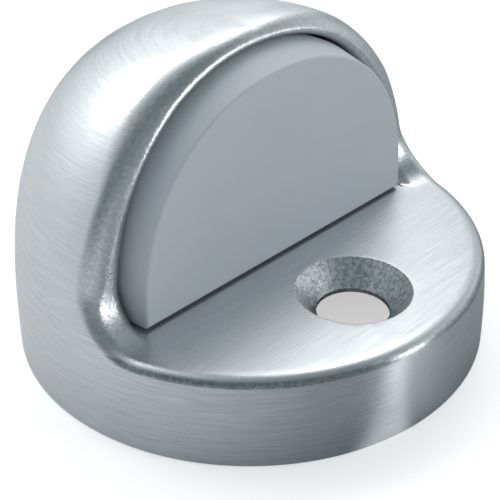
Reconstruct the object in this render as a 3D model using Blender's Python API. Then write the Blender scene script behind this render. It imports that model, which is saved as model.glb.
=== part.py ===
"""Dome floor door stop: a hollow cast body with a rubber bumper held in its front window.

+Z is up, the bumper and the fixing hole face -Y, and the origin is the centre of the base on the floor.
"""

import math

import bmesh
import bpy
import numpy as np

MM = 0.001

# Cast body
BASE_RADIUS = 23.8 * MM
HEIGHT = 32.0 * MM
FULLNESS = 2.43  # exponent of the front's superellipse, where 2 would be an ellipsoid
BACK_FULLNESS = 2.8  # the dome is fuller from this far back
BACK_Y = 12.0 * MM
SHELF_Z = 9.4 * MM
SHELF_PLATE = 2.8 * MM
FACE_Y = -2.1 * MM  # plane of the upright rim around the bumper
FILLET = 3.9 * MM  # hollow fillet from that plane down to the shelf, beside the window
OUTER_FILLET = 5.2 * MM  # the same fillet where it runs out at the casting's side
OUTER_FILLET_X = 22.5 * MM
ROUND_HEIGHTS = np.array([9.4, 13.5, 22.0, 28.0]) * MM
ROUND_RADII = np.array([0.95, 2.0, 2.0, 3.0]) * MM  # rounding of the casting's outer edge at those heights
WALL = 3.0 * MM
FRONT_WALL = 3.3 * MM

# D-shaped window in the body, and the bumper in it
WINDOW_HALF_WIDTH = 18.6 * MM
WINDOW_SPRING_Z = 10.9 * MM  # height where the straight sides turn into the arch
WINDOW_TOP_Z = 30.4 * MM
WINDOW_FULLNESS = 2.2
WINDOW_DEPTH = 7.9 * MM
GAP = 0.3 * MM
BUMPER_FACE_Y = -4.6 * MM
BUMPER_EDGE = 0.3 * MM
TAPER_Y = -1.2 * MM  # the bumper narrows from here to its face
SIDE_TAPER = 0.3 * MM
TOP_TAPER = 0.9 * MM
SILL_STEP = 0.1 * MM  # depth of the window's floor below the shelf
FOOT_HALF_WIDTH = 16.5 * MM
FOOT_BOTTOM_Z = 3.9 * MM

# Countersunk fixing hole
HOLE_Y = -13.6 * MM
HOLE_RADIUS = 3.53 * MM
COUNTERSINK_RADIUS = 5.6 * MM
COUNTERSINK_ANGLE = math.radians(82)

# Steel keeper behind the bumper, and its two screws
SHEET = 1.2 * MM
KEEPER_HALF_WIDTH = 14.0 * MM
KEEPER_UNDERSIDE_Z = 2.4 * MM
KEEPER_FRONT_Y = -4.9 * MM
KEEPER_SPRING_Z = 9.5 * MM
KEEPER_TOP_Z = 22.0 * MM
SCREW_X = 10.5 * MM
SCREW_Y = -1.8 * MM
SCREW_RADIUS = 1.5 * MM
SCREW_TIP_Z = 7.6 * MM
SCREW_CHAMFER = 0.5 * MM
HEAD_RADIUS = 2.8 * MM
HEAD_HEIGHT = 1.5 * MM
HEAD_EDGE = 0.4  # share of the head's height that is its upright edge
SLOT_WIDTH = 0.8 * MM
BOSS_RADIUS = 2.9 * MM

# Columns of the body's grid on each side: along the arch, the fillet and the shelf
ARCH_COLUMNS = 26
FILLET_COLUMNS = 6
SHELF_COLUMNS = 16
DOME_ROWS = 12
ROUND_ROWS = 3
ROUND_REACH = 1.2  # where the rows of the rounding start, in its radii from the edge
RIM_ROWS = 2
RIM_SHARE = 0.6  # most of the rim's width that the rows of the rounding may take
ROUND_SIDES = 48
ARCH_SIDES = 48
SMOOTH_ANGLE = math.radians(35)


def clear_scene():
    for obj in list(bpy.data.objects):
        bpy.data.objects.remove(obj, do_unlink=True)


def principled(name, colour, roughness, metallic=0.0):
    material = bpy.data.materials.new(name)
    material.use_nodes = True
    shader = material.node_tree.nodes["Principled BSDF"]
    shader.inputs["Base Color"].default_value = (*colour, 1.0)
    shader.inputs["Roughness"].default_value = roughness
    shader.inputs["Metallic"].default_value = metallic
    return material


def object_from(bm, name, material=None):
    """Makes an object of a bmesh, with its faces pointing out and its round parts shaded smooth."""
    bmesh.ops.recalc_face_normals(bm, faces=bm.faces)
    mesh = bpy.data.meshes.new(name)
    bm.to_mesh(mesh)
    bm.free()
    mesh.shade_smooth()
    mesh.set_sharp_from_angle(angle=SMOOTH_ANGLE)
    if material:
        mesh.materials.append(material)
    obj = bpy.data.objects.new(name, mesh)
    bpy.context.scene.collection.objects.link(obj)
    return obj


def boolean(obj, other, operation):
    modifier = obj.modifiers.new(f"{operation.lower()} {other.name}", "BOOLEAN")
    modifier.operation = operation
    modifier.object = other
    modifier.solver = "EXACT"
    other.hide_render = True
    other.display_type = "WIRE"


def superellipse(reach, fullness):
    """Half width of a superellipse of half width 1 at this share of its height."""
    return (1 - np.clip(reach, 0, 1) ** fullness) ** (1 / fullness)


def dome_radius(z, radius=BASE_RADIUS, height=HEIGHT):
    return radius * superellipse(z / height, FULLNESS)


def window_half_width(z):
    rise = np.clip(z - WINDOW_SPRING_Z, 0, None)
    return WINDOW_HALF_WIDTH * superellipse(rise / (WINDOW_TOP_Z - WINDOW_SPRING_Z), WINDOW_FULLNESS)


def edge_and_window_columns():
    """The sharp front edge of the casting and the outline of its window, on +X, from the top to the front.

    Both follow the front surface: down its upright plane, round the fillet, and out along the shelf.
    """
    fillet_y = FACE_Y - FILLET
    fillet_z = SHELF_Z + FILLET
    top = HEIGHT * superellipse(-FACE_Y / BASE_RADIUS, FULLNESS)

    lowest = math.asin((fillet_z / top) ** (FULLNESS / 2))
    turn = np.linspace(math.pi / 2, lowest, ARCH_COLUMNS + 1)[:-1]
    arch_z = top * np.sin(turn) ** (2 / FULLNESS)
    arch_x = np.sqrt(np.clip(dome_radius(arch_z) ** 2 - FACE_Y**2, 0, None))
    arch = np.stack([arch_x, np.full_like(arch_z, FACE_Y), arch_z], axis=1)

    rise = WINDOW_TOP_Z - WINDOW_SPRING_Z
    lowest = math.asin(((fillet_z - WINDOW_SPRING_Z) / rise) ** (WINDOW_FULLNESS / 2))
    turn = np.linspace(math.pi / 2, lowest, ARCH_COLUMNS + 1)[:-1]
    window_z = WINDOW_SPRING_Z + rise * np.sin(turn) ** (2 / WINDOW_FULLNESS)
    window = np.stack([window_half_width(window_z), np.full_like(window_z, FACE_Y), window_z], axis=1)

    turn = np.linspace(0, math.pi / 2, FILLET_COLUMNS + 1)[:-1]
    y = fillet_y + FILLET * np.cos(turn)
    z = fillet_z - FILLET * np.sin(turn)
    fillet = np.stack([np.sqrt(dome_radius(z) ** 2 - y**2), y, z], axis=1)
    window_side = np.stack([window_half_width(z), y, z], axis=1)

    radius = dome_radius(SHELF_Z)
    turn = np.linspace(math.asin(fillet_y / radius), -math.pi / 2, SHELF_COLUMNS + 1)
    shelf = np.stack([radius * np.cos(turn), radius * np.sin(turn), np.full_like(turn, SHELF_Z)], axis=1)
    across = np.linspace(WINDOW_HALF_WIDTH, 0, SHELF_COLUMNS + 1)
    sill = np.stack([across, np.full_like(across, fillet_y), np.full_like(across, SHELF_Z)], axis=1)

    edge = np.concatenate([arch, fillet, shelf])
    outline = np.concatenate([window, window_side, sill])
    edge[-1, 0] = 0.0
    return edge, outline


def all_round(half):
    """Adds the -X half of a loop to its +X half, which starts and ends on the symmetry plane."""
    return np.concatenate([half, half[-2:0:-1] * (-1, 1, 1)])


def dome_fullness(y):
    return np.interp(y, (0, BACK_Y), (FULLNESS, BACK_FULLNESS))


def on_dome(points):
    """Points moved out from the centre of the base to the dome."""
    radial = np.hypot(points[..., 0], points[..., 1]) / BASE_RADIUS
    rise = np.clip(points[..., 2], 0, None) / HEIGHT
    fullness = dome_fullness(points[..., 1])
    return points / ((radial**fullness + rise**fullness) ** (1 / fullness))[..., None]


def dome_distance(points):
    """Distance to the dome, near it: the superellipsoid's level over its slope."""
    radial = np.maximum(np.hypot(points[..., 0], points[..., 1]), 1e-9)
    rise = np.maximum(points[..., 2], 1e-9)
    fullness = dome_fullness(points[..., 1])
    level = ((radial / BASE_RADIUS) ** fullness + (rise / HEIGHT) ** fullness) ** (1 / fullness)
    out = (radial / BASE_RADIUS / level) ** (fullness - 1) / BASE_RADIUS
    up = (rise / HEIGHT / level) ** (fullness - 1) / HEIGHT
    return (level - 1) / np.hypot(out, up)


def round_corner(a, b, radius):
    """Distance to the overlap of two solids, with the edge between them rounded."""
    a = a + radius
    b = b + radius
    return np.hypot(np.maximum(a, 0), np.maximum(b, 0)) + np.minimum(np.maximum(a, b), 0) - radius


def edge_rounding(z):
    return np.interp(z, ROUND_HEIGHTS, ROUND_RADII)


def body_distance(points):
    """Distance to the outer skin: the dome less the space above the shelf, its outer edge rounded."""
    x, y, z = np.moveaxis(points, -1, 0)
    fillet = np.interp(np.abs(x), (WINDOW_HALF_WIDTH, OUTER_FILLET_X), (FILLET, OUTER_FILLET))
    in_front = round_corner(y - FACE_Y, SHELF_Z - z, fillet)
    return round_corner(dome_distance(points), -in_front, edge_rounding(z))


def settle(points, distance):
    """Points moved along the slope of a distance until it is zero."""
    step = 0.001 * MM
    least_slope = 0.2
    for _ in range(12):
        level = distance(points)
        slope = np.stack([distance(points + offset) - level for offset in np.eye(3) * step], axis=-1) / step
        steepness = np.maximum((slope**2).sum(axis=-1), least_slope)
        points = points - slope * (level / steepness)[..., None]
    return points


def base_loop(edge):
    """Points around the base circle, one below each point of the edge, evenly spaced behind it."""
    front = edge[ARCH_COLUMNS : len(edge) // 2 + 1]
    side = math.atan2(front[0, 1], front[0, 0])
    rear_turn = np.linspace(math.pi / 2, side, ARCH_COLUMNS + 1)[:-1]
    turn = np.concatenate([rear_turn, np.arctan2(front[:, 1], front[:, 0])])
    base = BASE_RADIUS * np.stack([np.cos(turn), np.sin(turn), np.zeros_like(turn)], axis=1)
    base[[0, -1], 0] = 0.0
    return all_round(base)


def body_rows():
    """Rows of points from the base, over the outer edge, to the window and back along its walls."""
    edge, outline = (all_round(half) for half in edge_and_window_columns())
    base = base_loop(edge)
    reach = ROUND_REACH * edge_rounding(edge[:, 2])
    dome_end = 1 - reach / np.linalg.norm(edge - base, axis=1)
    rim_end = np.minimum(reach / np.linalg.norm(outline - edge, axis=1), RIM_SHARE)
    rounding = np.linspace(1, 0, ROUND_ROWS + 1)[:-1]
    rows = [blend(base, edge, share * dome_end) for share in np.linspace(0, 1, DOME_ROWS + 1)[1:]]
    rows += [blend(base, edge, 1 - (1 - dome_end) * share) for share in rounding[1:]]
    rows = [on_dome(row) for row in rows]
    rows.append(edge)
    rows += [blend(edge, outline, rim_end * share) for share in rounding[::-1]]
    rim_shares = np.linspace(0, 1, RIM_ROWS + 1)[1:-1]
    rows += [blend(edge, outline, rim_end + (1 - rim_end) * share) for share in rim_shares]
    return [base, *settle(np.array(rows), body_distance), outline, *window_wall_rows(outline)]


def window_wall_rows(outline):
    """Rows back along the window's walls. The floor steps down below the shelf in front of the bumper."""
    step_y = BUMPER_FACE_Y - GAP
    lead = 0.1 * MM
    on_floor = outline[:, 2] < SHELF_Z + 0.001 * MM
    front = outline.copy()
    front[:, 1] = np.where(on_floor, step_y, np.maximum(outline[:, 1], step_y) + lead)
    floor = front.copy()
    floor[on_floor, 2] -= SILL_STEP
    floor[~on_floor, 1] += lead
    back = floor.copy()
    back[:, 1] = FACE_Y + WINDOW_DEPTH
    return [front, floor, back]


def blend(a, b, share):
    """Points between two loops. The share may be a number for each point."""
    return a + (b - a) * np.broadcast_to(share, len(a))[:, None]


def loft(rows):
    """A closed bmesh through loops of points, with a flat face on the first and on the last."""
    bm = bmesh.new()
    loops = [[bm.verts.new(point) for point in row] for row in rows]
    for low, high in zip(loops, loops[1:]):
        for i in range(len(low)):
            bm.faces.new((low[i - 1], low[i], high[i], high[i - 1]))
    bm.faces.new(loops[0])
    bm.faces.new(loops[-1])
    return bm


def turned(name, profile, centre=(0, 0), material=None):
    """A solid of revolution about a vertical line, from the (radius, z) points of its profile."""
    bm = bmesh.new()
    verts = [bm.verts.new((radius, 0, z)) for radius, z in profile]
    edges = [bm.edges.new(pair) for pair in zip(verts, verts[1:])]
    axis = {"cent": (0, 0, 0), "axis": (0, 0, 1)}
    bmesh.ops.spin(bm, geom=verts + edges, **axis, angle=math.tau, steps=ROUND_SIDES, use_merge=True)
    bmesh.ops.remove_doubles(bm, verts=bm.verts, dist=1e-7)
    bmesh.ops.translate(bm, verts=bm.verts, vec=(*centre, 0))
    return object_from(bm, name, material)


def box(name, low, high):
    bm = bmesh.new()
    bmesh.ops.create_cube(bm, size=1)
    for vert in bm.verts:
        for axis in range(3):
            vert.co[axis] = high[axis] if vert.co[axis] > 0 else low[axis]
    return object_from(bm, name)


def arch_loop(half_width, bottom_z, spring_z, top_z, fullness, y):
    """Points around a D with a flat bottom, straight sides and a round top, in a plane across Y."""
    turn = np.linspace(0, math.pi, ARCH_SIDES + 1)
    x = half_width * np.sign(np.cos(turn)) * np.abs(np.cos(turn)) ** (2 / fullness)
    z = spring_z + (top_z - spring_z) * np.abs(np.sin(turn)) ** (2 / fullness)
    points = [(half_width, bottom_z), *zip(x, z), (-half_width, bottom_z)]
    return [(px, y, pz) for px, pz in points]


def cast_body(material):
    body = object_from(loft(body_rows()), "dome_body", material)
    boolean(body, hollow(), "DIFFERENCE")
    boolean(body, countersunk_hole(), "DIFFERENCE")
    for side in (-1, 1):
        centre = (side * SCREW_X, SCREW_Y)
        bottom = KEEPER_UNDERSIDE_Z + SHEET + GAP
        plate_z = SHELF_Z - SHELF_PLATE / 2
        post = [(0, bottom), (BOSS_RADIUS, bottom), (BOSS_RADIUS, plate_z), (0, plate_z)]
        boolean(body, turned(f"boss_{side}", post, centre), "UNION")
        radius = SCREW_RADIUS + GAP
        bore = [(0, 0), (radius, 0), (radius, SCREW_TIP_Z + GAP), (0, SCREW_TIP_Z + GAP)]
        boolean(body, turned(f"boss_bore_{side}", bore, centre), "DIFFERENCE")
    return body


def hollow():
    """The space inside the casting: an inner dome, less the solid parts above the shelf's underside."""
    radius = BASE_RADIUS - WALL
    height = HEIGHT - WALL
    turn = np.linspace(math.pi / 2, 0, 13)
    z = height * np.sin(turn) ** (2 / FULLNESS)
    profile = [*zip(dome_radius(z, radius, height), z), (radius, -WALL), (0, -WALL)]
    space = turned("hollow", profile)
    far = 2 * BASE_RADIUS
    solid = box("front_solid", (-far, -far, SHELF_Z - SHELF_PLATE), (far, FACE_Y + FRONT_WALL, 2 * HEIGHT))
    boolean(space, solid, "DIFFERENCE")
    return space


def countersunk_hole():
    slope = math.tan(COUNTERSINK_ANGLE / 2)
    above = SHELF_PLATE / 2
    depth = (COUNTERSINK_RADIUS - HOLE_RADIUS) / slope
    profile = [
        (0, SHELF_Z + above),
        (COUNTERSINK_RADIUS + above * slope, SHELF_Z + above),
        (HOLE_RADIUS, SHELF_Z - depth),
        (HOLE_RADIUS, SHELF_Z - 2 * SHELF_PLATE),
        (0, SHELF_Z - 2 * SHELF_PLATE),
    ]
    return turned("countersunk_hole", profile, (0, HOLE_Y))


def bumper(material):
    """A rubber D that fills the window and tapers to its face, with a foot behind the casting's sill."""
    back_y = FACE_Y + WINDOW_DEPTH - GAP
    bottom_z = SHELF_Z - SILL_STEP + GAP
    half_width = WINDOW_HALF_WIDTH - GAP
    top_z = WINDOW_TOP_Z - GAP
    face = (half_width - SIDE_TAPER, bottom_z, WINDOW_SPRING_Z, top_z - TOP_TAPER, WINDOW_FULLNESS)
    full = (half_width, bottom_z, WINDOW_SPRING_Z, top_z, WINDOW_FULLNESS)
    bm = loft([arch_loop(*face, BUMPER_FACE_Y), arch_loop(*full, TAPER_Y), arch_loop(*full, back_y)])
    front = [edge for edge in bm.edges if all(abs(vert.co.y - BUMPER_FACE_Y) < 1e-6 for vert in edge.verts)]
    bmesh.ops.bevel(bm, geom=front, offset=BUMPER_EDGE, segments=2, profile=0.5, affect="EDGES")
    block = object_from(bm, "bumper", material)
    foot = box(
        "bumper_foot",
        (-FOOT_HALF_WIDTH, FACE_Y + FRONT_WALL + GAP, FOOT_BOTTOM_Z),
        (FOOT_HALF_WIDTH, back_y, WINDOW_SPRING_Z),
    )
    boolean(block, foot, "UNION")
    return block


def keeper(material):
    """A bent steel sheet: one leg stands behind the bumper, and the other is screwed up under the shelf."""
    front_y = FACE_Y + WINDOW_DEPTH
    low = KEEPER_UNDERSIDE_Z
    top = KEEPER_TOP_Z
    turn = np.linspace(0, math.pi / 2, 5)
    bend = zip(front_y + SHEET * np.sin(turn), low + SHEET * (1 - np.cos(turn)))
    profile = [(KEEPER_FRONT_Y, low), *bend, (front_y + SHEET, top)]
    profile += [(front_y, top), (front_y, low + SHEET), (KEEPER_FRONT_Y, low + SHEET)]
    sides = (-KEEPER_HALF_WIDTH, KEEPER_HALF_WIDTH)
    plate = object_from(loft([[(x, y, z) for y, z in profile] for x in sides]), "bumper_keeper", material)
    outline = (KEEPER_HALF_WIDTH - GAP, low - SHEET, KEEPER_SPRING_Z, top, 2)
    trim = loft([arch_loop(*outline, y) for y in (2 * KEEPER_FRONT_Y, 2 * front_y)])
    boolean(plate, object_from(trim, "keeper_trim"), "INTERSECT")
    for side in (-1, 1):
        radius = SCREW_RADIUS + GAP
        drill = [(0, 0), (radius, 0), (radius, low + 2 * SHEET), (0, low + 2 * SHEET)]
        boolean(plate, turned(f"keeper_hole_{side}", drill, (side * SCREW_X, SCREW_Y)), "DIFFERENCE")
    return plate


def keeper_screw(name, x, material):
    """A pan head screw, upside down: its head is below the keeper and its tip is up in the boss."""
    seat = KEEPER_UNDERSIDE_Z - GAP
    crown = seat - HEAD_HEIGHT
    turn = np.linspace(0, math.pi / 2, 5)
    rise = HEAD_HEIGHT * (HEAD_EDGE + (1 - HEAD_EDGE) * np.cos(turn))
    dome = [*zip(HEAD_RADIUS * np.sin(turn), seat - rise)]
    shank = [(HEAD_RADIUS, seat), (SCREW_RADIUS, seat), (SCREW_RADIUS, SCREW_TIP_Z - SCREW_CHAMFER)]
    profile = [*dome, *shank, (SCREW_RADIUS - SCREW_CHAMFER, SCREW_TIP_Z), (0, SCREW_TIP_Z)]
    screw = turned(name, profile, (x, SCREW_Y), material)
    low = (x - HEAD_RADIUS * 2, SCREW_Y - SLOT_WIDTH / 2, crown - HEAD_HEIGHT)
    high = (x + HEAD_RADIUS * 2, SCREW_Y + SLOT_WIDTH / 2, crown + HEAD_HEIGHT / 2)
    boolean(screw, box(f"{name}_slot", low, high), "DIFFERENCE")
    return screw


def main():
    clear_scene()
    cast_body(principled("satin_chrome", (0.62, 0.64, 0.65), 0.35, metallic=1.0))
    bumper(principled("grey_rubber", (0.35, 0.38, 0.40), 0.6))
    keeper(principled("zinc_plated_sheet", (0.70, 0.71, 0.72), 0.4, metallic=1.0))
    screw_steel = principled("zinc_plated_screw", (0.66, 0.67, 0.68), 0.35, metallic=1.0)
    for side, x in (("left", -SCREW_X), ("right", SCREW_X)):
        keeper_screw(f"keeper_screw_{side}", x, screw_steel)


main()
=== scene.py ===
import math

import bmesh
import bpy
import numpy as np
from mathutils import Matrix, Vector


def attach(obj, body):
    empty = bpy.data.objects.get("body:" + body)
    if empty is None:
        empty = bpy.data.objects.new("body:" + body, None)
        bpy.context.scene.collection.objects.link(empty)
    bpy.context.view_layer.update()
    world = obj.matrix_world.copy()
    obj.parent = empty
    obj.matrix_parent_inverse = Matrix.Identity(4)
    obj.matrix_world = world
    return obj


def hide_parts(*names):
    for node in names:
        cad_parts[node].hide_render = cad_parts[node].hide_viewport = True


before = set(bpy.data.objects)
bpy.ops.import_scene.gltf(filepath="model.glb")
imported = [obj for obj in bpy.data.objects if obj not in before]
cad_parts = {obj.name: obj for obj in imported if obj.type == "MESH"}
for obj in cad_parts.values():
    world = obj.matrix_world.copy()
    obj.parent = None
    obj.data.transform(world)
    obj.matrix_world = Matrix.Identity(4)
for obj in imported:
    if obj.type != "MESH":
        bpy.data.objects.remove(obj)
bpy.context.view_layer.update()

MM = 0.001

# Cast body, as in the CAD model
BASE_RADIUS = 23.8 * MM
HEIGHT = 32.0 * MM
FULLNESS = 2.43
BACK_FULLNESS = 2.8
BACK_Y = 12.0 * MM
SHELF_Z = 9.4 * MM
SHELF_PLATE = 2.8 * MM
FACE_Y = -2.1 * MM
FILLET = 3.9 * MM
OUTER_FILLET = 5.2 * MM
OUTER_FILLET_X = 22.5 * MM
ROUND_HEIGHTS = np.array([9.4, 13.5, 22.0, 28.0]) * MM
ROUND_RADII = np.array([0.95, 2.0, 2.0, 3.0]) * MM
WALL = 3.0 * MM
FRONT_WALL = 3.3 * MM
WINDOW_HALF_WIDTH = 18.6 * MM
WINDOW_SPRING_Z = 10.9 * MM
WINDOW_TOP_Z = 30.4 * MM
WINDOW_FULLNESS = 2.2
WINDOW_DEPTH = 7.9 * MM
GAP = 0.3 * MM
SILL_STEP = 0.1 * MM
BUMPER_FACE_Y = -4.6 * MM
TAPER_Y = -1.2 * MM
SIDE_TAPER = 0.3 * MM
TOP_TAPER = 0.9 * MM
FOOT_HALF_WIDTH = 16.5 * MM
FOOT_BOTTOM_Z = 3.9 * MM
HOLE_Y = -13.6 * MM
HOLE_RADIUS = 3.53 * MM
COUNTERSINK_RADIUS = 5.6 * MM
COUNTERSINK_ANGLE = math.radians(82)
SCREW_X = 10.5 * MM
SCREW_Y = -1.8 * MM
BOSS_RADIUS = 2.9 * MM
BOSS_BOTTOM_Z = 3.9 * MM
BORE_RADIUS = 1.8 * MM
BORE_TOP_Z = 7.9 * MM

# Small edge roundings that only the fine mesh has
BASE_ROUND = 0.35 * MM
WINDOW_ROUND = 1.1 * MM
HOLE_ROUND = 0.15 * MM
BUMPER_EDGE = 0.3 * MM

# Resolution of the fine pieces. The rounding's rows start at this many radii from the sharp edge.
ARCH_COLUMNS = 90
FILLET_COLUMNS = 18
SHELF_COLUMNS = 64
DOME_ROWS = 36
ROUND_ROWS = 9
ROUND_REACH = 1.25
STRIP_ROWS = 20
WALL_ROWS = 7
BASE_ROWS = 4
HOLE_ROWS = 4
BUMPER_EDGE_ROWS = 8
BUMPER_STEPS = 160
ROUND_SIDES = 128
HOLLOW_ROWS = 32
SETTLE_ROUNDS = 14

# Brush lines: noise cells per metre along and across them
ALONG_LINES = 250.0
ACROSS_LINES = 9000.0

# Streak of light that the metal sees on the table: the direction across it, how far it passes from the
# centre of the base, and the Y where it starts and where it grows brighter
STREAK_ACROSS = (0.89, 0.45)
STREAK_OFFSET = 15.7 * MM
STREAK_NEAR_Y = -20 * MM
STREAK_FAR_Y = -29 * MM

# Room light: azimuth and elevation in degrees, how narrow, and how bright
ROOM_COLOUR = (0.15, 0.19, 0.21, 1.0)
ROOM_LOBES = (
    (190, 35, 4, 1.1),
    (230, 8, 6, 0.25),
    (134, 32, 10, 0.85),
    (76, 14, 8, 0.65),
    (-20, 20, 6, 0.15),
    (42, 0, 8, 0.3),
)

# Softboxes: azimuth and elevation in degrees, distance, width and height in metres, and how bright.
# An azimuth of 0 is -Y, and it turns towards +X.
SOFTBOXES = {
    "back_left": (190, 48, 0.6, 0.30, 0.25, 2.2),
    "back_right": (125, 52, 0.6, 0.30, 0.20, 2.8),
    "right_front": (27, 10, 0.5, 0.12, 0.17, 8.5),
    "under_plate": (0, 90, 0.0, 0.02, 0.012, 0.2),
}
LIGHT_TARGET_Z = 12 * MM
UNDER_PLATE_GAP = 0.6 * MM
TABLE_HALF_WIDTH = 1.5
TABLE_THICKNESS = 0.01

# Camera
SENSOR_WIDTH_MM = 36.0
LENS_MM = 89.407
CAMERA_PLACE = (-75.808 * MM, -74.151 * MM, 76.111 * MM)
CAMERA_TURN = (57.1715, 0.3249, -45.8050)


def superellipse(reach, fullness):
    """Half width of a superellipse of half width 1 at this share of its height."""
    return (1 - np.clip(reach, 0, 1) ** fullness) ** (1 / fullness)


def dome_radius(z, radius=BASE_RADIUS, height=HEIGHT):
    return radius * superellipse(z / height, FULLNESS)


def window_half_width(z):
    rise = np.clip(z - WINDOW_SPRING_Z, 0, None)
    return WINDOW_HALF_WIDTH * superellipse(rise / (WINDOW_TOP_Z - WINDOW_SPRING_Z), WINDOW_FULLNESS)


def edge_and_window_columns():
    """The casting's sharp front edge and its window's outline, from the top to the front on +X."""
    fillet_y = FACE_Y - FILLET
    fillet_z = SHELF_Z + FILLET
    top = HEIGHT * superellipse(-FACE_Y / BASE_RADIUS, FULLNESS)

    lowest = math.asin((fillet_z / top) ** (FULLNESS / 2))
    turn = np.linspace(math.pi / 2, lowest, ARCH_COLUMNS + 1)[:-1]
    arch_z = top * np.sin(turn) ** (2 / FULLNESS)
    arch_x = np.sqrt(np.clip(dome_radius(arch_z) ** 2 - FACE_Y**2, 0, None))
    arch = np.stack([arch_x, np.full_like(arch_z, FACE_Y), arch_z], axis=1)

    rise = WINDOW_TOP_Z - WINDOW_SPRING_Z
    lowest = math.asin(((fillet_z - WINDOW_SPRING_Z) / rise) ** (WINDOW_FULLNESS / 2))
    turn = np.linspace(math.pi / 2, lowest, ARCH_COLUMNS + 1)[:-1]
    window_z = WINDOW_SPRING_Z + rise * np.sin(turn) ** (2 / WINDOW_FULLNESS)
    window = np.stack([window_half_width(window_z), np.full_like(window_z, FACE_Y), window_z], axis=1)

    turn = np.linspace(0, math.pi / 2, FILLET_COLUMNS + 1)[:-1]
    y = fillet_y + FILLET * np.cos(turn)
    z = fillet_z - FILLET * np.sin(turn)
    fillet = np.stack([np.sqrt(dome_radius(z) ** 2 - y**2), y, z], axis=1)
    window_side = np.stack([window_half_width(z), y, z], axis=1)

    radius = dome_radius(SHELF_Z)
    turn = np.linspace(math.asin(fillet_y / radius), -math.pi / 2, SHELF_COLUMNS + 1)
    shelf = np.stack([radius * np.cos(turn), radius * np.sin(turn), np.full_like(turn, SHELF_Z)], axis=1)
    across = np.linspace(WINDOW_HALF_WIDTH, 0, SHELF_COLUMNS + 1)
    sill = np.stack([across, np.full_like(across, fillet_y), np.full_like(across, SHELF_Z)], axis=1)

    edge = np.concatenate([arch, fillet, shelf])
    outline = np.concatenate([window, window_side, sill])
    edge[-1, 0] = 0.0
    return edge, outline


def all_round(half):
    """Adds the -X half of a loop to its +X half, which starts and ends on the symmetry plane."""
    return np.concatenate([half, half[-2:0:-1] * (-1, 1, 1)])


def blend(a, b, share):
    """Points between two loops. The share may be a number for each point."""
    return a + (b - a) * np.broadcast_to(share, len(a))[:, None]


def dome_fullness(y):
    return np.interp(y, (0, BACK_Y), (FULLNESS, BACK_FULLNESS))


def on_dome(points):
    """Points moved out from the centre of the base to the dome."""
    radial = np.hypot(points[..., 0], points[..., 1]) / BASE_RADIUS
    rise = np.clip(points[..., 2], 0, None) / HEIGHT
    fullness = dome_fullness(points[..., 1])
    return points / ((radial**fullness + rise**fullness) ** (1 / fullness))[..., None]


def dome_distance(points):
    """Distance to the dome, near it: the superellipsoid's level over its slope."""
    radial = np.maximum(np.hypot(points[..., 0], points[..., 1]), 1e-9)
    rise = np.maximum(points[..., 2], 1e-9)
    fullness = dome_fullness(points[..., 1])
    level = ((radial / BASE_RADIUS) ** fullness + (rise / HEIGHT) ** fullness) ** (1 / fullness)
    out = (radial / BASE_RADIUS / level) ** (fullness - 1) / BASE_RADIUS
    up = (rise / HEIGHT / level) ** (fullness - 1) / HEIGHT
    return (level - 1) / np.hypot(out, up)


def window_distance(points):
    """Distance to the D-shaped window, near it. It has no bottom, and it ends at the bumper's back."""
    width = np.abs(points[..., 0]) / WINDOW_HALF_WIDTH
    rise = np.maximum(points[..., 2] - WINDOW_SPRING_Z, 0) / (WINDOW_TOP_Z - WINDOW_SPRING_Z)
    level = np.maximum((width**WINDOW_FULLNESS + rise**WINDOW_FULLNESS) ** (1 / WINDOW_FULLNESS), 1e-9)
    across = (width / level) ** (WINDOW_FULLNESS - 1) / WINDOW_HALF_WIDTH
    up = (rise / level) ** (WINDOW_FULLNESS - 1) / (WINDOW_TOP_Z - WINDOW_SPRING_Z)
    outline = (level - 1) / np.maximum(np.hypot(across, up), 1e-9)
    return np.maximum(outline, points[..., 1] - FACE_Y - WINDOW_DEPTH)


def round_corner(a, b, radius):
    """Distance to the overlap of two solids, with the edge between them rounded."""
    a = a + radius
    b = b + radius
    return np.hypot(np.maximum(a, 0), np.maximum(b, 0)) + np.minimum(np.maximum(a, b), 0) - radius


def edge_rounding(z):
    return np.interp(z, ROUND_HEIGHTS, ROUND_RADII)


def body_distance(points):
    """Distance to the casting: dome less the space above the shelf and the window, its edges rounded."""
    x, y, z = np.moveaxis(points, -1, 0)
    fillet = np.interp(np.abs(x), (WINDOW_HALF_WIDTH, OUTER_FILLET_X), (FILLET, OUTER_FILLET))
    in_front = round_corner(y - FACE_Y, SHELF_Z - z, fillet)
    skin = round_corner(dome_distance(points), -in_front, edge_rounding(z))
    skin = round_corner(skin, -z, BASE_ROUND)
    framed = round_corner(skin, -window_distance(points), WINDOW_ROUND)
    return np.minimum(framed, np.maximum(skin, z - SHELF_Z))


def settle(points, distance):
    """Points moved along the slope of a distance until it is zero."""
    step = 0.001 * MM
    least_slope = 0.2
    for _ in range(SETTLE_ROUNDS):
        level = distance(points)
        rises = [distance(points + offset) - level for offset in np.eye(3) * step]
        slope = np.stack(rises, axis=-1) / step
        steepness = np.maximum((slope**2).sum(axis=-1), least_slope)
        points = points - slope * (level / steepness)[..., None]
    return points


def base_loop(edge):
    """Points around the base circle, one below each point of the edge, evenly spaced behind it."""
    front = edge[ARCH_COLUMNS : len(edge) // 2 + 1]
    side = math.atan2(front[0, 1], front[0, 0])
    rear_turn = np.linspace(math.pi / 2, side, ARCH_COLUMNS + 1)[:-1]
    turn = np.concatenate([rear_turn, np.arctan2(front[:, 1], front[:, 0])])
    base = BASE_RADIUS * np.stack([np.cos(turn), np.sin(turn), np.zeros_like(turn)], axis=1)
    base[[0, -1], 0] = 0.0
    return all_round(base)


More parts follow.
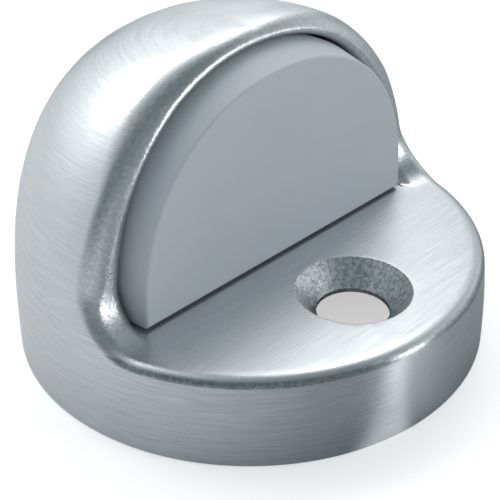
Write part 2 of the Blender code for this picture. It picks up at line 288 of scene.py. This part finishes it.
def body_rows():
    """Rows of points from the base, over the outer edge, to the window and back along its walls."""
    edge, outline = (all_round(half) for half in edge_and_window_columns())
    base = base_loop(edge)
    flat_base = base * (1 - BASE_ROUND / BASE_RADIUS)
    # Edge break at the floor
    rows = []
    for turn in np.linspace(0, math.pi / 2, BASE_ROWS + 1)[1:]:
        row = base * (1 - BASE_ROUND * (1 - math.sin(turn)) / BASE_RADIUS)
        row[:, 2] = BASE_ROUND * (1 - math.cos(turn))
        rows.append(row)
    # Up the dome to the rounding
    length = np.linalg.norm(edge - base, axis=1)
    dome_end = 1 - ROUND_REACH * edge_rounding(edge[:, 2]) / length
    clear_of_base = 2.5 * BASE_ROUND
    low_share = clear_of_base / length
    for share in np.linspace(0, 1, DOME_ROWS + 1)[1:]:
        rows.append(on_dome(blend(base, edge, low_share + (dome_end - low_share) * share)))
    for share in np.linspace(1, 0, ROUND_ROWS + 1)[1:-1]:
        rows.append(on_dome(blend(base, edge, 1 - (1 - dome_end) * share)))
    rows.append(edge)
    # Across the rim or the shelf: close together near both of its edges
    for share in (1 - np.cos(np.linspace(0, math.pi, STRIP_ROWS + 1)[1:])) / 2:
        rows.append(blend(edge, outline, share))
    skin = settle(np.array(rows), body_distance)
    walls = window_wall_rows(outline)
    return [flat_base, *skin, *walls]


def window_wall_rows(outline):
    """Rows back along the window's walls. The floor steps down just in front of the bumper."""
    step_y = BUMPER_FACE_Y - GAP
    lead = 0.1 * MM
    rounded_depth = 1.3 * WINDOW_ROUND
    tolerance = 0.001 * MM
    on_floor = outline[:, 2] < SHELF_Z + tolerance
    rows = []
    for share in np.linspace(0, 1, WALL_ROWS + 1)[1:]:
        row = outline.copy()
        row[:, 1] = np.where(on_floor, FACE_Y - FILLET, outline[:, 1] + rounded_depth * share)
        row[on_floor, 1] += (step_y - row[on_floor, 1]) * share
        rows.append(row)
    settled = settle(np.array(rows), body_distance)
    settled[:, on_floor] = np.array(rows)[:, on_floor]
    front = settled[-1]
    floor = front.copy()
    floor[on_floor, 2] -= SILL_STEP
    floor[~on_floor, 1] += lead
    back = floor.copy()
    back[:, 1] = FACE_Y + WINDOW_DEPTH
    return [*settled, floor, back]


def loft(rows):
    """A closed bmesh through loops of points, with a flat face on the first and on the last."""
    bm = bmesh.new()
    loops = [[bm.verts.new(point) for point in row] for row in rows]
    for low, high in zip(loops, loops[1:]):
        for i in range(len(low)):
            bm.faces.new((low[i - 1], low[i], high[i], high[i - 1]))
    bm.faces.new(loops[0])
    bm.faces.new(loops[-1])
    return bm


def object_from(bm, name):
    bmesh.ops.recalc_face_normals(bm, faces=bm.faces)
    mesh = bpy.data.meshes.new(name)
    bm.to_mesh(mesh)
    bm.free()
    obj = bpy.data.objects.new(name, mesh)
    bpy.context.scene.collection.objects.link(obj)
    return obj


def turned(name, profile, centre=(0, 0)):
    """A solid of revolution about a vertical line, from the (radius, z) points of its profile."""
    bm = bmesh.new()
    verts = [bm.verts.new((radius, 0, z)) for radius, z in profile]
    edges = [bm.edges.new(pair) for pair in zip(verts, verts[1:])]
    bmesh.ops.spin(
        bm,
        geom=verts + edges,
        cent=(0, 0, 0),
        axis=(0, 0, 1),
        angle=math.tau,
        steps=ROUND_SIDES,
        use_merge=True,
    )
    merge_distance = 0.0001 * MM
    bmesh.ops.remove_doubles(bm, verts=bm.verts, dist=merge_distance)
    bmesh.ops.translate(bm, verts=bm.verts, vec=(*centre, 0))
    return object_from(bm, name)


def box(name, low, high):
    bm = bmesh.new()
    bmesh.ops.create_cube(bm, size=1)
    for vert in bm.verts:
        for axis in range(3):
            vert.co[axis] = high[axis] if vert.co[axis] > 0 else low[axis]
    return object_from(bm, name)


def cut(obj, other, operation="DIFFERENCE"):
    """Applies a Boolean with another object, which is then removed."""
    modifier = obj.modifiers.new("boolean", "BOOLEAN")
    modifier.operation = operation
    modifier.object = other
    modifier.solver = "EXACT"
    depsgraph = bpy.context.evaluated_depsgraph_get()
    mesh = bpy.data.meshes.new_from_object(obj.evaluated_get(depsgraph), depsgraph=depsgraph)
    obj.modifiers.clear()
    obj.data = mesh
    bpy.data.objects.remove(other, do_unlink=True)


def smooth(obj, degrees):
    obj.data.shade_smooth()
    obj.data.set_sharp_from_angle(angle=math.radians(degrees))


def hollow():
    """The space inside the casting: an inner dome, less the shelf plate and the wall behind the rim."""
    radius = BASE_RADIUS - WALL
    height = HEIGHT - WALL
    turn = np.linspace(math.pi / 2, 0, HOLLOW_ROWS + 1)
    z = height * np.sin(turn) ** (2 / FULLNESS)
    profile = [*zip(dome_radius(z, radius, height), z), (radius, -WALL), (0, -WALL)]
    space = turned("hollow", profile)
    far = 2 * BASE_RADIUS
    low = (-far, -far, SHELF_Z - SHELF_PLATE)
    high = (far, FACE_Y + FRONT_WALL, 2 * HEIGHT)
    cut(space, box("front_solid", low, high))
    return space


def countersunk_hole():
    """The screw hole's space. Its cone meets the shelf in a small rounded edge."""
    slope = COUNTERSINK_ANGLE / 2
    depth = (COUNTERSINK_RADIUS - HOLE_RADIUS) / math.tan(slope)
    arc_turn = math.pi / 2 - slope
    reach = HOLE_ROUND * math.tan(arc_turn / 2)
    centre_r = COUNTERSINK_RADIUS + reach
    arc = []
    for turn in np.linspace(arc_turn, 0, HOLE_ROWS + 1):
        drop = HOLE_ROUND * (1 - math.cos(turn))
        arc.append((centre_r - HOLE_ROUND * math.sin(turn), SHELF_Z - drop))
    profile = [
        (0, SHELF_Z + SHELF_PLATE),
        (centre_r, SHELF_Z + SHELF_PLATE),
        *reversed(arc),
        (HOLE_RADIUS, SHELF_Z - depth),
        (HOLE_RADIUS, SHELF_Z - 2 * SHELF_PLATE),
        (0, SHELF_Z - 2 * SHELF_PLATE),
    ]
    return turned("countersunk_hole", profile, (0, HOLE_Y))


def cylinder(name, radius, low, high, centre):
    return turned(name, [(0, low), (radius, low), (radius, high), (0, high)], centre)


def fine_body():
    body = object_from(loft(body_rows()), "dome_casting")
    cut(body, hollow())
    cut(body, countersunk_hole())
    plate_middle = SHELF_Z - SHELF_PLATE / 2
    for side in (-1, 1):
        centre = (side * SCREW_X, SCREW_Y)
        cut(body, cylinder("boss", BOSS_RADIUS, BOSS_BOTTOM_Z, plate_middle, centre), "UNION")
        cut(body, cylinder("bore", BORE_RADIUS, 0, BORE_TOP_Z, centre))
    smooth(body, 25)
    return body


def arch_loop(inset, y):
    """Points around the bumper's D, moved in by a distance, in a plane across Y."""
    taper = max(0, TAPER_Y - y) / (TAPER_Y - BUMPER_FACE_Y)
    bottom_z = SHELF_Z - SILL_STEP + GAP
    half_width = WINDOW_HALF_WIDTH - GAP - SIDE_TAPER * taper
    rise = WINDOW_TOP_Z - GAP - TOP_TAPER * taper - WINDOW_SPRING_Z
    turn = np.linspace(0, math.pi, BUMPER_STEPS + 1)
    across = np.sign(np.cos(turn)) * np.abs(np.cos(turn)) ** (2 / WINDOW_FULLNESS)
    up = np.abs(np.sin(turn)) ** (2 / WINDOW_FULLNESS)
    arch = np.stack([half_width * across, WINDOW_SPRING_Z + rise * up], axis=1)
    normal_x = np.sign(across) * np.abs(across) ** (WINDOW_FULLNESS - 1) / half_width
    normal_z = up ** (WINDOW_FULLNESS - 1) / rise
    length = np.hypot(normal_x, normal_z)
    arch -= inset * np.stack([normal_x / length, normal_z / length], axis=1)
    corner_x = half_width - inset
    points = [(corner_x, bottom_z + inset), *arch, (-corner_x, bottom_z + inset)]
    return np.array([(x, y, z) for x, z in points])


def fine_bumper():
    back_y = FACE_Y + WINDOW_DEPTH - GAP
    rows = []
    for turn in np.linspace(0, math.pi / 2, BUMPER_EDGE_ROWS + 1):
        inset = BUMPER_EDGE * (1 - math.sin(turn))
        y = BUMPER_FACE_Y + BUMPER_EDGE * (1 - math.cos(turn))
        rows.append(arch_loop(inset, y))
    for y in (TAPER_Y, back_y):
        rows.append(arch_loop(0, y))
    block = object_from(loft(rows), "rubber_bumper")
    foot = box(
        "foot",
        (-FOOT_HALF_WIDTH, FACE_Y + FRONT_WALL + GAP, FOOT_BOTTOM_Z),
        (FOOT_HALF_WIDTH, back_y, WINDOW_SPRING_Z),
    )
    cut(block, foot, "UNION")
    smooth(block, 35)
    return block


class Nodes:
    """Short calls to build a material's node tree."""

    def __init__(self, name):
        self.material = bpy.data.materials.new(name)
        self.material.use_nodes = True
        self.tree = self.material.node_tree
        self.shader = self.tree.nodes["Principled BSDF"]

    def add(self, kind, inputs=None, **settings):
        node = self.tree.nodes.new(kind)
        for key, value in settings.items():
            setattr(node, key, value)
        for key, value in (inputs or {}).items():
            self.put(node.inputs[key], value)
        return node

    def put(self, socket, value):
        if isinstance(value, bpy.types.NodeSocket):
            self.tree.links.new(value, socket)
        else:
            socket.default_value = value

    def math(self, operation, a, b=0.0):
        return self.add("ShaderNodeMath", {0: a, 1: b}, operation=operation).outputs[0]

    def times(self, *factors):
        product = factors[0]
        for factor in factors[1:]:
            product = self.math("MULTIPLY", product, factor)
        return product

    def plus(self, a, b):
        return self.math("ADD", a, b)

    def rest_of(self, share):
        return self.math("SUBTRACT", 1.0, share)

    def place(self):
        return self.add("ShaderNodeTexCoord").outputs["Object"]

    def vector(self, operation, a, b):
        return self.add("ShaderNodeVectorMath", {0: a, 1: b}, operation=operation).outputs[0]

    def ramp(self, value, low, high, to_low=0.0, to_high=1.0):
        inputs = {
            "Value": value,
            "From Min": low,
            "From Max": high,
            "To Min": to_low,
            "To Max": to_high,
        }
        return self.add("ShaderNodeMapRange", inputs, interpolation_type="SMOOTHSTEP").outputs["Result"]

    def noise(self, vector, scale, detail=2.0, roughness=0.5):
        inputs = {"Vector": vector, "Scale": scale, "Detail": detail, "Roughness": roughness}
        return self.add("ShaderNodeTexNoise", inputs).outputs["Fac"]

    def mix(self, share, a, b):
        node = self.add("ShaderNodeMix", data_type="RGBA")
        self.put(node.inputs[0], share)
        self.put(node.inputs[6], a)
        self.put(node.inputs[7], b)
        return node.outputs[2]

    def mix_vector(self, share, a, b):
        node = self.add("ShaderNodeMix", data_type="VECTOR")
        self.put(node.inputs[0], share)
        self.put(node.inputs[4], a)
        self.put(node.inputs[5], b)
        return node.outputs[1]

    def bump(self, height, distance, strength=1.0, normal=None):
        inputs = {"Height": height, "Distance": distance, "Strength": strength}
        if normal is not None:
            inputs["Normal"] = normal
        return self.add("ShaderNodeBump", inputs).outputs["Normal"]


def chrome_regions(n, place):
    """Shares of four regions: shelf top, all ground faces, countersink and the shelf's rounded edge."""
    z = n.add("ShaderNodeSeparateXYZ", {0: place}).outputs["Z"]
    normal = n.add("ShaderNodeNewGeometry").outputs["Normal"]
    _, facing_back, facing_up = n.add("ShaderNodeSeparateXYZ", {0: normal}).outputs

    shelf_height = n.times(n.ramp(z, 8.6 * MM, 9.2 * MM), n.ramp(z, 11.0 * MM, 9.8 * MM))
    shelf = n.times(n.ramp(facing_up, 0.55, 0.9), shelf_height)

    rim = n.times(n.ramp(facing_back, -0.2, -0.5), n.ramp(z, 9.6 * MM, 10.6 * MM))
    from_hole = n.vector("SUBTRACT", place, (0.0, HOLE_Y, 0.0))
    level = n.vector("MULTIPLY", from_hole, (1.0, 1.0, 0.0))
    off_hole = n.add("ShaderNodeVectorMath", {0: level}, operation="LENGTH").outputs["Value"]
    cone = n.ramp(off_hole, COUNTERSINK_RADIUS + 0.12 * MM, COUNTERSINK_RADIUS)
    ground = n.math("MAXIMUM", rim, cone)

    turned_over = n.times(n.ramp(facing_up, 0.14, 0.32), n.ramp(facing_up, 0.86, 0.60))
    below_shelf = n.times(n.ramp(z, 8.0 * MM, 8.6 * MM), n.ramp(z, SHELF_Z, SHELF_Z - 0.1 * MM))
    shelf_edge = n.times(turned_over, below_shelf, n.rest_of(cone))
    return shelf, ground, cone, shelf_edge


def satin_chrome():
    """Satin chrome plate, brushed round the dome and straight across the shelf. The rim is ground."""
    n = Nodes("satin_chrome")
    place = n.place()
    shelf, ground, cone, shelf_edge = chrome_regions(n, place)
    round_lines = n.vector("MULTIPLY", place, (ALONG_LINES, ALONG_LINES, ACROSS_LINES))
    straight_lines = n.vector("MULTIPLY", place, (ALONG_LINES, ACROSS_LINES, ACROSS_LINES))
    brush = n.noise(n.mix_vector(shelf, round_lines, straight_lines), 1.0, detail=3.0, roughness=0.6)
    grain = n.noise(place, 2600.0, detail=3.0, roughness=0.7)
    cloud = n.noise(place, 160.0, detail=3.0)

    dark = (0.57, 0.60, 0.615, 1.0)
    light = (0.70, 0.725, 0.735, 1.0)
    pit = (0.42, 0.45, 0.465, 1.0)
    facet = (0.82, 0.84, 0.85, 1.0)
    # Painted dark reflection for the middle of the shelf's rounded edge
    painted_dark_reflection = (0.28, 0.32, 0.34, 1.0)
    brushed_colour = n.mix(n.ramp(brush, 0.25, 0.75), dark, light)
    ground_dark = n.mix(cone, dark, pit)
    ground_light = n.mix(cone, light, facet)
    ground_colour = n.mix(n.ramp(grain, 0.35, 0.65), ground_dark, ground_light)
    clean = n.mix(ground, brushed_colour, ground_colour)
    # Painted dark reflection: the middle of the shelf's rounded edge is darkened in the colour, broken
    # up by grain, to stand in for the dark room that the edge reflects
    painted_reflection_share = n.times(shelf_edge, n.ramp(grain, 0.3, 0.6, 0.45, 1.0))
    n.put(n.shader.inputs["Base Color"], n.mix(painted_reflection_share, clean, painted_dark_reflection))
    n.shader.inputs["Metallic"].default_value = 1.0

    rough = n.plus(n.ramp(brush, 0.2, 0.8, 0.36, 0.27), n.ramp(cloud, 0.3, 0.7, -0.02, 0.03))
    n.put(n.shader.inputs["Roughness"], n.plus(rough, n.times(cone, 0.05)))
    n.put(n.shader.inputs["Anisotropic"], n.math("SUBTRACT", 0.75, n.times(ground, 0.5)))
    n.shader.inputs["Anisotropic Rotation"].default_value = 0.25
    around = n.add("ShaderNodeTangent", direction_type="RADIAL", axis="Z").outputs["Tangent"]
    n.put(n.shader.inputs["Tangent"], n.mix_vector(shelf, around, (1.0, 0.0, 0.0)))

    grain_strength = n.plus(0.12, n.times(ground, 0.88))
    fine = n.bump(grain, 0.04 * MM, strength=grain_strength)
    lines = n.bump(brush, 0.013 * MM, strength=n.rest_of(ground), normal=fine)
    n.put(n.shader.inputs["Normal"], lines)
    return n.material


def grey_rubber():
    """Moulded rubber: an even grey with faint clouds, and a fine dull grain."""
    n = Nodes("grey_rubber")
    place = n.place()
    cloud = n.noise(place, 120.0, detail=3.0)
    grain = n.noise(place, 4500.0, detail=2.0)
    dark = (0.61, 0.65, 0.68, 1.0)
    light = (0.63, 0.665, 0.69, 1.0)
    n.put(n.shader.inputs["Base Color"], n.mix(n.ramp(cloud, 0.3, 0.7), dark, light))
    n.put(n.shader.inputs["Roughness"], n.ramp(grain, 0.3, 0.7, 0.46, 0.56))
    n.put(n.shader.inputs["Normal"], n.bump(grain, 0.006 * MM))
    return n.material


def zinc(name, colour, blotch):
    """Zinc plated steel: dull, with a faint crystal mottle and rolling lines."""
    n = Nodes(name)
    place = n.place()
    mottle = n.noise(place, blotch, detail=4.0, roughness=0.65)
    lines = n.noise(n.vector("MULTIPLY", place, (3000.0, 200.0, 200.0)), 1.0)
    dark = [0.82 * part for part in colour]
    crystals = n.mix(n.ramp(mottle, 0.3, 0.7), (*dark, 1.0), (*colour, 1.0))
    n.put(n.shader.inputs["Base Color"], crystals)
    n.shader.inputs["Metallic"].default_value = 1.0
    n.put(n.shader.inputs["Roughness"], n.ramp(mottle, 0.3, 0.7, 0.48, 0.34))
    n.put(n.shader.inputs["Normal"], n.bump(lines, 0.003 * MM))
    return n.material


def light_on_table(n, place):
    """What the metal sees of the table: paler behind on the left, and a streak on the front right."""
    x, y, _ = n.add("ShaderNodeSeparateXYZ", {0: place}).outputs
    slant = n.plus(n.times(x, -0.9), n.times(y, 0.4))
    spread = n.ramp(slant, -8 * MM, 42 * MM, 0.0, 0.43)
    across = n.plus(n.times(x, STREAK_ACROSS[0]), n.times(y, STREAK_ACROSS[1]))
    off_streak = n.math("ABSOLUTE", n.plus(across, STREAK_OFFSET))
    near = n.ramp(y, STREAK_NEAR_Y, STREAK_NEAR_Y - 2 * MM, 0.0, 0.5)
    far = n.ramp(y, STREAK_FAR_Y, STREAK_FAR_Y - 9 * MM, 0.0, 0.7)
    streak = n.times(n.plus(near, far), n.ramp(off_streak, 3.2 * MM, 0.8 * MM))
    return n.plus(spread, streak)


def white_floor():
    """A pale table. To reflections it is grey, with patches of light, like one in a dim studio."""
    n = Nodes("white_floor")
    place = n.place()
    seen = n.add("ShaderNodeLightPath").outputs["Is Camera Ray"]
    pale = n.mix(n.noise(place, 40.0), (0.88, 0.86, 0.85, 1.0), (0.90, 0.88, 0.87, 1.0))
    grey = (0.42, 0.43, 0.445, 1.0)
    n.put(n.shader.inputs["Base Color"], n.mix(seen, grey, pale))
    n.shader.inputs["Roughness"].default_value = 0.8
    n.shader.inputs["Specular IOR Level"].default_value = 0.1
    n.shader.inputs["Emission Color"].default_value = (1.0, 1.0, 1.0, 1.0)
    glow = n.times(n.rest_of(seen), light_on_table(n, place))
    seen_glow = n.times(seen, 0.51)
    n.put(n.shader.inputs["Emission Strength"], n.plus(seen_glow, glow))
    return n.material


def direction(azimuth, elevation):
    """Unit vector. Azimuth 0 is -Y, and it turns towards +X."""
    azimuth = math.radians(azimuth)
    elevation = math.radians(elevation)
    flat = math.cos(elevation)
    return Vector((flat * math.sin(azimuth), -flat * math.cos(azimuth), math.sin(elevation)))


def softbox(name, azimuth, elevation, distance, width, height, radiance):
    """An area light that faces the object. Its power follows from its brightness and its size."""
    light = bpy.data.lights.new(name, "AREA")
    light.shape = "RECTANGLE"
    light.size = width
    light.size_y = height
    light.energy = radiance * math.pi * width * height
    obj = bpy.data.objects.new(name, light)
    bpy.context.scene.collection.objects.link(obj)
    target = Vector((0, 0, LIGHT_TARGET_Z))
    obj.location = target + direction(azimuth, elevation) * distance
    obj.rotation_euler = (target - obj.location).to_track_quat("-Z", "Y").to_euler()
    return obj


def studio_world(base, lobes):
    """A dim room with soft bright patches. A camera that looks past the table sees white."""
    world = bpy.data.worlds.new("studio")
    bpy.context.scene.world = world
    world.use_nodes = True
    nodes, links = world.node_tree.nodes, world.node_tree.links

    def calculate(operation, a, b):
        node = nodes.new("ShaderNodeMath")
        node.operation = operation
        for socket, value in zip(node.inputs, (a, b)):
            if isinstance(value, bpy.types.NodeSocket):
                links.new(value, socket)
            else:
                socket.default_value = value
        return node.outputs[0]

    place = nodes.new("ShaderNodeTexCoord").outputs["Generated"]
    total = 0.0
    for azimuth, elevation, tightness, radiance in lobes:
        facing = nodes.new("ShaderNodeVectorMath")
        facing.operation = "DOT_PRODUCT"
        facing.inputs[1].default_value = direction(azimuth, elevation)
        links.new(place, facing.inputs[0])
        lobe = calculate("POWER", calculate("MAXIMUM", facing.outputs["Value"], 0.0), tightness)
        total = calculate("ADD", calculate("MULTIPLY", lobe, radiance), total)
    seen = nodes.new("ShaderNodeLightPath").outputs["Is Camera Ray"]
    sum_up = nodes.new("ShaderNodeMix")
    sum_up.data_type = "RGBA"
    sum_up.blend_type = "ADD"
    sum_up.inputs[0].default_value = 1.0
    sum_up.inputs[6].default_value = base
    links.new(calculate("ADD", total, seen), sum_up.inputs[7])
    links.new(sum_up.outputs[2], nodes["Background"].inputs["Color"])


def studio():
    floor = box(
        "studio_floor",
        (-TABLE_HALF_WIDTH, -TABLE_HALF_WIDTH, -TABLE_THICKNESS),
        (TABLE_HALF_WIDTH, TABLE_HALF_WIDTH, 0),
    )
    floor.data.materials.append(white_floor())
    studio_world(ROOM_COLOUR, ROOM_LOBES)
    lights = {name: softbox(name, *values) for name, values in SOFTBOXES.items()}
    # The small one lies just under the shelf plate and lights the table below the hole
    under_plate = lights["under_plate"]
    under_plate.location = (0, HOLE_Y, SHELF_Z - SHELF_PLATE - UNDER_PLATE_GAP)
    under_plate.rotation_euler = (0, 0, 0)
    under_plate.visible_camera = False


def camera():
    data = bpy.data.cameras.new("camera")
    data.sensor_width = SENSOR_WIDTH_MM
    data.lens = LENS_MM
    data.clip_start = 1 * MM
    obj = bpy.data.objects.new("camera", data)
    obj.location = CAMERA_PLACE
    obj.rotation_euler = [math.radians(angle) for angle in CAMERA_TURN]
    bpy.context.scene.collection.objects.link(obj)
    bpy.context.scene.camera = obj


def dress(obj, material):
    obj.data.materials.clear()
    obj.data.materials.append(material)


def casting():
    body = fine_body()
    dress(body, satin_chrome())
    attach(body, "root")
    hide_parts("dome_body")


def rubber_bumper():
    block = fine_bumper()
    dress(block, grey_rubber())
    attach(block, "root")
    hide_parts("bumper")


def keeper_and_screws():
    """These are shown as the CAD solids, with a material."""
    sheet = zinc("zinc_sheet", (0.68, 0.69, 0.70), 900.0)
    screws = zinc("zinc_screw", (0.64, 0.65, 0.66), 1600.0)
    materials = {
        "bumper_keeper": sheet,
        "keeper_screw_left": screws,
        "keeper_screw_right": screws,
    }
    for node, material in materials.items():
        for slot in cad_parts[node].material_slots:
            slot.material = material


def main():
    camera()
    studio()
    casting()
    rubber_bumper()
    keeper_and_screws()
    bpy.context.scene.view_settings.view_transform = "Standard"


main()
bpy.context.view_layer.update()
